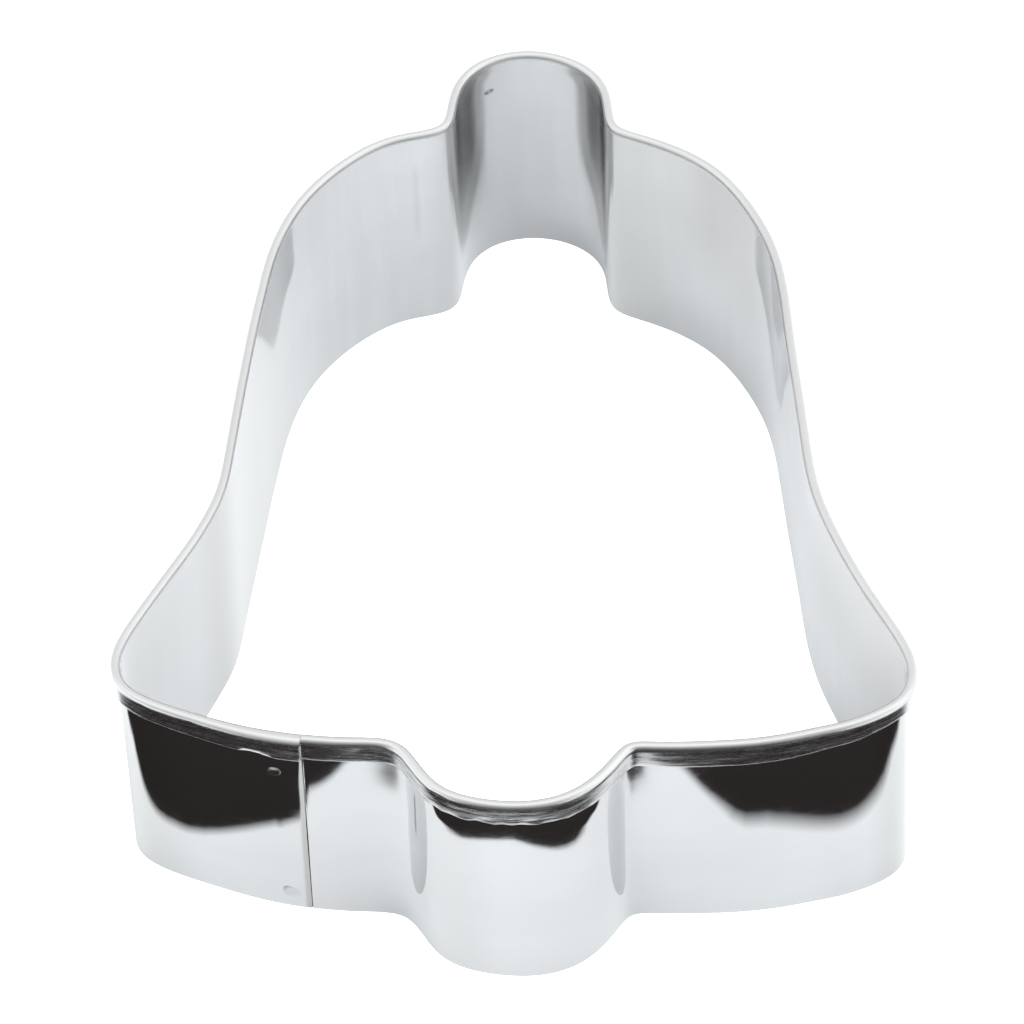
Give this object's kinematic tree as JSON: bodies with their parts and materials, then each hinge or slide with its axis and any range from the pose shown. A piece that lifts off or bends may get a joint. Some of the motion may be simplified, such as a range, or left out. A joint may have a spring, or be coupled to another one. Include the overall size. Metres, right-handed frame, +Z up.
{
  "type": "bell cookie cutter",
  "caption": "Open bell-shaped cookie cutter bent from one bright steel strip, with a hemmed upper rim, a plain cutting edge below and a spot-welded lap seam at the front left.",
  "frame": {"origin": "centre of the bounding box on the plane of the cutting edge", "axes": "+Z up to the hemmed rim, +Y to the knob at the crown of the bell, -Y to the clapper, +X to the right flare when looking along +Y"},
  "size_m": [0.0682, 0.0836, 0.0254],
  "materials": {
    "bright_steel": "bright mirror-like thin steel sheet with faint lengthwise rolling lines, fine scuffs and small forming marks",
    "weld_spot": "small dished electrode mark, slightly duller than the sheet"
  },
  "bodies": {
    "root": {"bell_strip": "bright_steel", "upper_spot_weld": "weld_spot", "lower_spot_weld": "weld_spot"}
  },
  "joints": []
}
